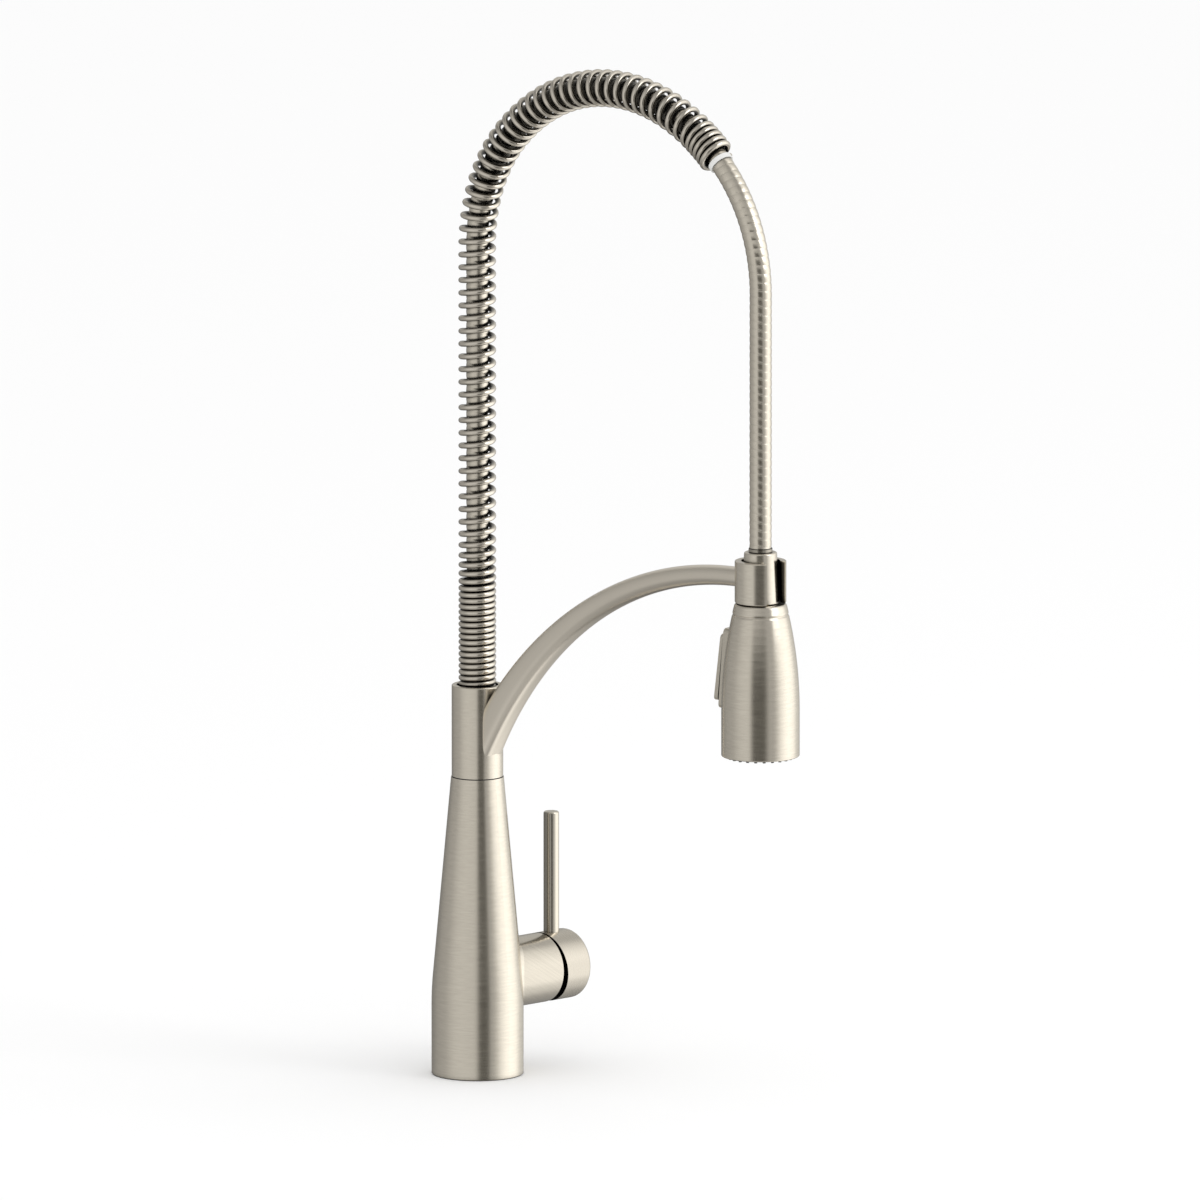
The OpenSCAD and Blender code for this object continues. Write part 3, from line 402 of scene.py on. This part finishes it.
FINISHES = {
    "column": brushed_metal("nickel_column", NICKEL, COLUMN_AXIS, 0.24, 1.2, spread=0.07, reach=0.007,
                            low=0.02),
    "base": brushed_metal("nickel_base", NICKEL, COLUMN_AXIS, 0.24, 1.2, spread=0.07, reach=0.007, low=0.02,
                          gap_face=hub_end_face, dim=hub_painted_shade),
    "head": brushed_metal("nickel_head", NICKEL, HEAD_AXIS, 0.24, 1.2, spread=0.08, reach=0.006, low=0.05),
    "clamp": brushed_metal("nickel_clamp", NICKEL, HEAD_AXIS, 0.24, 1.2, spread=0.08, reach=0.006, low=0.03,
                           inner_shade=clamp_inner_shade),
    "ferrule": brushed_metal("nickel_ferrule", NICKEL, HEAD_AXIS, 0.24, 0.8, low=0.05, inner_shade=ferrule_inner_shade),
    "hub": brushed_metal("nickel_hub", SHADED_HUB_NICKEL, HUB_AXIS, 0.27, 0.5, reach=0.009, low=0.0,
                         gap_face=cap_inner_face),
    "lever": brushed_metal("nickel_lever", NICKEL, LEVER_AXIS, 0.22, 0.5, lee=lever_reflection_shade),
    "arm": brushed_metal("nickel_arm", LIT_ARM_NICKEL, ARM_AXIS, 0.3, 0.4, reach=0.012),
    "sheath": plain_surface("nickel_sheath", NICKEL, 1.0, 0.25, 900, 0.1, 0.15, reach=0.003, span=(0.5, 0.9)),
    "spring": plain_surface("nickel_spring", SPRING_NICKEL, 1.0, 0.15, 700, 0.08, 0.08, reach=0.009,
                            span=(0.38, 0.95)),
    "brass": plain_surface("machined_brass", (0.76, 0.60, 0.32), 1.0, 0.3, 500, 0.12, 0.15),
    "steel": plain_surface("plain_steel", (0.62, 0.63, 0.64), 1.0, 0.3, 600, 0.1, 0.15),
    "ceramic": plain_surface("lapped_ceramic", (0.86, 0.85, 0.80), 0.0, 0.2, 900, 0.04, 0.05),
    "white": plain_surface("white_acetal", (0.80, 0.80, 0.78), 0.0, 0.45, 500, 0.06, 0.2),
    "grey": plain_surface("grey_plastic", (0.22, 0.23, 0.24), 0.0, 0.5, 500, 0.12, 0.25),
    "rubber": plain_surface("black_rubber", (0.018, 0.018, 0.02), 0.0, 0.6, 700, 0.3, 0.3),
    "silicone": plain_surface("grey_silicone", (0.12, 0.12, 0.12), 0.0, 0.5, 600, 0.2, 0.25),
}

CAD_PIECES = {
    "base": ["base_body"],
    "column": ["post_sleeve"],
    "hub": ["handle_cap"],
    "lever": ["lever_rod"],
    "clamp": ["docking_clamp"],
    "ferrule": ["hose_ferrule"],
    "head": ["hose_collar", "head_shell", "button_bezel", "button_pad", "face_plate"],
    "brass": ["mounting_shank", "hot_inlet", "cold_inlet", "waterway_block", "outlet_tube", "cartridge_nut",
              "valve_stem", "spout_spigot", "hose_nut", "swivel_nipple", "swivel_nut", "check_seat"],
    "steel": ["block_screws", "pivot_pin", "handle_grub_screw", "retaining_clip", "post_grub_screw",
              "button_pin", "aerator"],
    "ceramic": ["fixed_disc", "moving_disc"],
    "white": ["lower_bush", "upper_bush", "cartridge_base", "cartridge_housing", "spring_end_ring",
              "head_core", "check_guide"],
    "grey": ["inlet_holder", "rotor", "disc_carrier", "handle_plug", "spring_seat", "hose_liner",
             "diverter_spool", "check_poppet"],
    "rubber": ["base_gasket", "port_orings", "thrust_washer", "cartridge_seals", "rotor_oring",
               "swivel_orings", "nipple_oring", "spool_orings"],
    "silicone": ["nozzle_mat"],
}

# ------------------------------------------------------------------ spring

# The coils lie close at the foot, open out over a ramp, and close again at the far end
CLOSE_PITCH = 3.75 * MM
OPEN_PITCH = 8 * MM
END_PITCH = 4.1 * MM
CLOSE_N = 22
RAMP_N = 8
END_RAMP_N = 1.5
END_N = 4.5


def ramp_length(n, first_pitch, last_pitch, ramp_n):
    """Length of the first n coils of a ramp, on which the pitch changes evenly over ramp_n coils."""
    return first_pitch * n + (last_pitch - first_pitch) * n * n / (2 * ramp_n)


RAMP_L = ramp_length(RAMP_N, CLOSE_PITCH, OPEN_PITCH, RAMP_N)
END_RAMP_L = ramp_length(END_RAMP_N, OPEN_PITCH, END_PITCH, END_RAMP_N)
OPEN_N = (SPRING_L - CLOSE_PITCH * CLOSE_N - RAMP_L - END_RAMP_L - END_PITCH * END_N) / OPEN_PITCH
COILS = CLOSE_N + RAMP_N + OPEN_N + END_RAMP_N + END_N


def coil_length(n):
    """Length run along the loop after n coils."""
    s = CLOSE_PITCH * min(n, CLOSE_N)
    n -= CLOSE_N
    if n > 0:
        s += ramp_length(min(n, RAMP_N), CLOSE_PITCH, OPEN_PITCH, RAMP_N)
        n -= RAMP_N
    if n > 0:
        s += OPEN_PITCH * min(n, OPEN_N)
        n -= OPEN_N
    if n > 0:
        s += ramp_length(min(n, END_RAMP_N), OPEN_PITCH, END_PITCH, END_RAMP_N)
        n -= END_RAMP_N
    if n > 0:
        s += END_PITCH * n
    return s


def wire_centre(n):
    return around_loop(coil_length(n), SPRING_R - WIRE_R, FULL_TURN * n)


def build_spring():
    steps = 40
    sides = 14
    near = 0.01
    end_taper = (0.82, 0.94, 0.99)
    total = round(COILS * steps)
    rings = []
    for i in range(total + 1):
        n = i / steps
        centre = wire_centre(n)
        along = (wire_centre(min(n + near, COILS)) - wire_centre(max(n - near, 0))).normalized()
        out = (centre - loop_point(coil_length(n))[0]).normalized()
        out = (out - along * out.dot(along)).normalized()
        up = along.cross(out)
        # the cut ends are eased over the last bit of wire
        end = min(i, total - i)
        r = WIRE_R * (end_taper[end] if end < len(end_taper) else 1)
        angles = [FULL_TURN * j / sides for j in range(sides)]
        rings.append([centre + r * (math.cos(b) * out + math.sin(b) * up) for b in angles])
    return loft("spring_coil", rings, 50)


# ------------------------------------------------------------------ hose

RIB = 5.0 * MM
RIB_SWELL = 0.17 * MM
SEAM_DEPTH = 0.10 * MM
SEAM_WIDTH = 0.35 * MM
BORE_R = 5.4 * MM
BORE_STEP = 6 * MM


def rib_radius(f):
    """Radius of the strip-wound sheath, f being the place within one turn of the strip from 0 to 1."""
    from_seam = min(f, 1 - f) * RIB
    seam = SEAM_DEPTH * math.exp(-(from_seam / SEAM_WIDTH) ** 2)
    return HOSE_R - RIB_SWELL + RIB_SWELL * math.sin(math.pi * f) - seam


def ribbed_hose(name, s0, s1, around, per_rib):
    """The sheath from s0 to s1 along the loop, its strip wound as a helix, open at both ends."""
    rings = []
    count = math.ceil((s1 - s0) / RIB * per_rib)
    for i in range(count + 1):
        s = s0 + (s1 - s0) * i / count
        rings.append([around_loop(s, rib_radius((s / RIB + j / around) % 1.0), FULL_TURN * j / around)
                      for j in range(around)])
    # back through the bore
    count = max(2, int((s1 - s0) / BORE_STEP))
    for i in range(count, -1, -1):
        s = s0 + (s1 - s0) * i / count
        rings.append([around_loop(s, BORE_R, FULL_TURN * j / around) for j in range(around)])
    return loft(name, rings, 60, closed_loop=True)


# ------------------------------------------------------------------ arm

def rounded(c, square):
    """A cosine or sine bent for an outline between a circle (square 2) and a rounded square (4)."""
    return math.copysign(abs(c) ** (2 / square), c)


def build_arm():
    stations = 96
    around = 96
    a_end = math.acos((ARM_C.x - ARM_X1) / ARM_R)
    rings = []
    for i in range(stations + 1):
        t = i / stations
        high = (ARM_TIP + (ARM_ROOT_H - ARM_TIP) * (1 - t) ** 1.3) / 2
        wide = (ARM_TIP + (ARM_ROOT_W - ARM_TIP) * (1 - t) ** 0.65) / 2
        square = 2 + (ARM_SQUARE - 2) * (1 - t) ** 2.4
        middle = ARM_R + ARM_LIFT * (1 - t) ** 1.6
        ring = []
        for j in range(around):
            b = -FULL_TURN * (j + 0.5) / around
            # each line along the arm starts on the post's round surface
            x0 = math.sqrt(ARM_X0 ** 2 - (ARM_ROOT_W / 2 * rounded(math.sin(b), ARM_SQUARE)) ** 2)
            r0 = ARM_R + ARM_LIFT + ARM_ROOT_H / 2 * rounded(math.cos(b), ARM_SQUARE)
            a_start = math.acos((ARM_C.x - x0) / r0)
            a = a_start + (a_end - a_start) * t
            r = middle + high * rounded(math.cos(b), square)
            y = wide * rounded(math.sin(b), square)
            ring.append((ARM_C.x - r * math.cos(a), y, ARM_C.z + r * math.sin(a)))
        rings.append(ring)
    return loft("docking_arm_bar", rings, 60)


# ------------------------------------------------------------------ finer pieces shown for CAD nodes

def stand_in(obj, node, finish):
    """Rides on the spout and is shown in place of a CAD node."""
    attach(obj, "spout")
    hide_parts(node)
    paint(obj, finish)


stand_in(build_spring(), "spring", FINISHES["spring"])
stand_in(build_arm(), "support_arm", FINISHES["arm"])
riser = ribbed_hose("ribbed_riser_hose", foot("riser_sheath") - SPRING_Z0, SPRING_L, 40, 8)
stand_in(riser, "riser_sheath", FINISHES["sheath"])

# the free stretch of the hose lengthens when the head is pulled
fall = ribbed_hose("ribbed_drop_hose", SPRING_L, FALL_END, 64, 14)
paint(fall, FINISHES["sheath"])
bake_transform(fall)
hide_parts("drop_sheath")

for finish, names in CAD_PIECES.items():
    for name in names:
        paint(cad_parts[name], FINISHES[finish])

# ------------------------------------------------------------------ camera

AZIMUTH = math.radians(46)
ELEVATION = math.radians(10)
TOWARD = Vector((math.sin(AZIMUTH), -math.cos(AZIMUTH), 0))
RIGHT = Vector((math.cos(AZIMUTH), math.sin(AZIMUTH), 0))
# the place in the middle of the picture
AIM = Vector((52.8, 54.7, 298.3)) * MM
CAMERA_DISTANCE = 30.0
VIEW_WIDTH = 0.744
SENSOR = 36.0


def add_to_scene(name, data):
    obj = bpy.data.objects.new(name, data)
    bpy.context.scene.collection.objects.link(obj)
    return obj


def add_camera():
    """Far off with a long lens, for a nearly parallel view."""
    camera = add_to_scene("camera", bpy.data.cameras.new("camera"))
    camera.data.sensor_width = SENSOR
    camera.data.lens = SENSOR * CAMERA_DISTANCE / VIEW_WIDTH
    camera.data.clip_end = 200
    back = TOWARD * math.cos(ELEVATION) + Vector((0, 0, math.sin(ELEVATION)))
    camera.location = AIM + back * CAMERA_DISTANCE
    camera.rotation_euler = back.to_track_quat("Z", "Y").to_euler()
    bpy.context.scene.camera = camera


# ------------------------------------------------------------------ studio

# Brightness of the studio in reflections, by degrees round from the camera, with 90 to the picture's right
STUDIO = [(-180, 0.19), (-150, 0.24), (-135, 0.30), (-119, 0.37), (-88, 0.43), (-73, 0.54), (-60, 0.61),
          (-40, 0.64), (-10, 0.60), (5, 0.5), (40, 0.42), (50, 0.62), (62, 1.0), (75, 1.25), (90, 1.45),
          (112, 1.3), (132, 0.78), (165, 0.5), (180, 0.19)]
WARMTH = (1.0, 0.985, 0.95)
# The same by height, from straight down at 0 to straight up at 1
BY_HEIGHT = [(0.0, 0.75), (0.13, 0.7), (0.2, 0.72), (0.27, 1.0), (0.6, 1.0), (0.8, 0.85), (1.0, 0.6)]
BACK_SKY = (0.75, 0.74, 0.71, 1)
WHITE = (1.0, 1.0, 1.0, 1)


def add_world():
    """White to the eye, and a banded studio in reflections."""
    world = bpy.data.worlds.new("studio")
    bpy.context.scene.world = world
    world.use_nodes = True
    g = Graph(world.node_tree)
    direction = g.coordinate("Generated")
    lift = g.height(direction)
    sideways = g.vec("DOT_PRODUCT", direction, tuple(RIGHT))
    nearer = g.vec("DOT_PRODUCT", direction, tuple(TOWARD))
    turn = g.math("ARCTAN2", sideways, nearer)
    stops = [((degrees + 180) / 360, [value * part for part in WARMTH]) for degrees, value in STUDIO]
    bands = g.ramp(g.remap(turn, -math.pi, math.pi, 0.0, 1.0), stops)
    by_height = g.grey_ramp(g.remap(lift, -1.0, 1.0, 0.0, 1.0), BY_HEIGHT)
    reflected = g.mix(1.0, bands, by_height, "MULTIPLY")
    # the sky behind the object is light above the level
    behind = g.remap(g.math("ABSOLUTE", turn), 2.2, 2.9, 0.0, 1.0)
    behind = g.math("MULTIPLY", behind, g.remap(lift, 0.0, 0.3, 0.0, 1.0))
    reflected = g.mix(g.math("MULTIPLY", behind, 0.7), reflected, BACK_SKY)
    is_reflection = g.node("ShaderNodeLightPath").outputs["Is Glossy Ray"]
    seen = g.mix(is_reflection, WHITE, reflected)
    background = g.node("ShaderNodeBackground", None, Strength=1.0, Color=seen)
    g.output("ShaderNodeOutputWorld", background)


SCREEN_AT = TOWARD * 0.504 + RIGHT * 0.15
SCREEN_HALF = 0.2
SCREEN_FOOT = -0.6
SCREEN_TOP = 1.2
SCREEN_GLOW = (0.088, 0.084, 0.074, 1)


def add_dark_screen():
    """A soft-edged dark screen beside the camera, seen only in reflections and only near the level."""
    corners = ((-1, SCREEN_FOOT), (1, SCREEN_FOOT), (1, SCREEN_TOP), (-1, SCREEN_TOP))
    verts = [SCREEN_AT + RIGHT * SCREEN_HALF * x + Vector((0, 0, z)) for x, z in corners]
    screen = new_object("dark_screen", verts, [(0, 1, 2, 3)])
    mat, g = material("dark_screen")
    geometry = g.node("ShaderNodeNewGeometry")
    from_middle = g.vec("SUBTRACT", geometry.outputs["Position"], tuple(SCREEN_AT))
    offset = g.remap(g.vec("DOT_PRODUCT", from_middle, tuple(RIGHT)), -SCREEN_HALF, SCREEN_HALF, 0.0, 1.0)
    across = g.grey_ramp(offset, [(0.0, 0), (0.32, 1), (0.68, 1), (1.0, 0)], "EASE")
    rise = g.remap(g.height(geometry.outputs["Incoming"]), -1.0, 1.0, 0.0, 1.0)
    level = g.grey_ramp(rise, [(0.36, 0), (0.46, 1), (0.66, 1), (0.76, 0)], "EASE")
    glow = g.node("ShaderNodeEmission", None, Strength=1.0, Color=SCREEN_GLOW)
    clear = g.node("ShaderNodeBsdfTransparent")
    soft = g.node("ShaderNodeMixShader", None, i0=g.mix(1.0, across, level, "MULTIPLY"), i1=clear.outputs[0],
                  i2=glow.outputs[0])
    g.output("ShaderNodeOutputMaterial", soft)
    paint(screen, mat)
    for flag in ("visible_camera", "visible_diffuse", "visible_shadow", "visible_transmission"):
        setattr(screen, flag, False)
    return screen


FLOOR_HALF = 30.0
FLOOR_TONE = (0.965, 0.965, 0.965, 1)


def add_floor():
    corners = ((-1, -1, 0), (1, -1, 0), (1, 1, 0), (-1, 1, 0))
    floor = new_object("floor", [Vector(c) * FLOOR_HALF for c in corners], [(0, 1, 2, 3)])
    mat, g = material("pale_floor")
    bsdf = g.node("ShaderNodeBsdfPrincipled", None, Base_Color=FLOOR_TONE, Roughness=0.9,
                  Specular_IOR_Level=0.0)
    g.output("ShaderNodeOutputMaterial", bsdf)
    paint(floor, mat)
    floor.visible_glossy = False
    return floor


def add_key_light():
    """A large soft lamp to the right of the camera and above."""
    lamp = bpy.data.lights.new("key", "AREA")
    lamp.shape = "RECTANGLE"
    lamp.size = 1.4
    lamp.size_y = 1.8
    lamp.energy = 12
    key = add_to_scene("key", lamp)
    key.location = AIM + RIGHT * 2.2 + TOWARD * 1.2 + Vector((0, 0, 1.4))
    key.rotation_euler = (key.location - AIM).to_track_quat("Z", "Y").to_euler()


add_camera()
add_world()
screen = add_dark_screen()
floor = add_floor()
add_key_light()

bpy.context.scene.view_settings.view_transform = "Standard"
bpy.context.scene.view_settings.look = "None"
